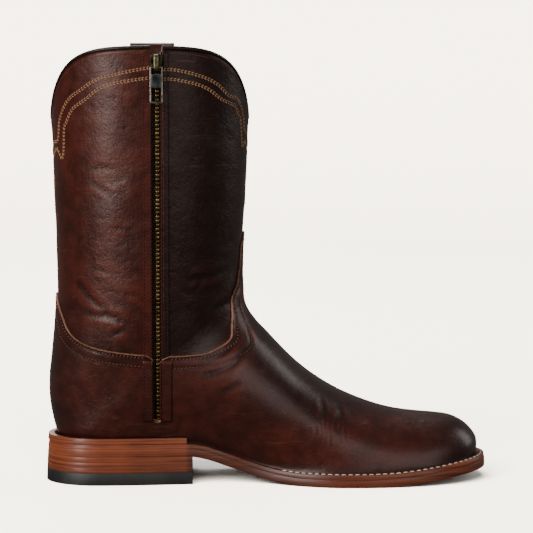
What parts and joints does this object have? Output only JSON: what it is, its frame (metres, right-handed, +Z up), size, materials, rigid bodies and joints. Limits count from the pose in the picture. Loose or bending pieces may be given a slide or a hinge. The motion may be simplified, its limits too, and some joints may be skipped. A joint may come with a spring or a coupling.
{
  "type": "roper boot",
  "caption": "Left leather roper boot with a scalloped collar, low stacked heel, stitched welt, side zip with a hinged pull tab and a pull strap.",
  "frame": {"origin": "on the floor, at the centre of the boot's bounding box in plan", "axes": "+X from the heel to the toe, +Y to the outer side of the foot, +Z up; the zip is on the inner side, -Y"},
  "size_m": [0.3058, 0.1223, 0.3039],
  "materials": {
    "boot_leather": "reddish-brown pull-up leather, glossy",
    "edge_leather": "dark burnished edge",
    "strap_leather": "reddish-brown leather",
    "stacked_leather": "stained stacked leather",
    "black_rubber": "matt black",
    "insole_board": "tan leather lining",
    "collar_leather": "near-black bead",
    "zip_tape_cloth": "woven near-black tape",
    "old_brass": "aged brass"
  },
  "bodies": {
    "boot": {"upper": "boot_leather", "outsole": "edge_leather", "welt": "edge_leather", "heel_rand": "edge_leather", "heel_lift_1": "stacked_leather", "heel_lift_2": "stacked_leather", "heel_lift_3": "stacked_leather", "heel_top_piece": "black_rubber", "insole": "insole_board", "collar_bead": "collar_leather", "pull_strap": "strap_leather", "zip_tape": "zip_tape_cloth", "zip_teeth": "old_brass", "zip_slider": "old_brass"},
    "zip_pull": {"zip_pull": "old_brass"}
  },
  "joints": [
    {"name": "zip_pull_hinge", "type": "hinge", "parent": "boot", "child": "zip_pull", "pos_m": [-0.076, -0.0598, 0.2854], "axis": [-1, 0, 0], "range_deg": [0, 140]}
  ]
}
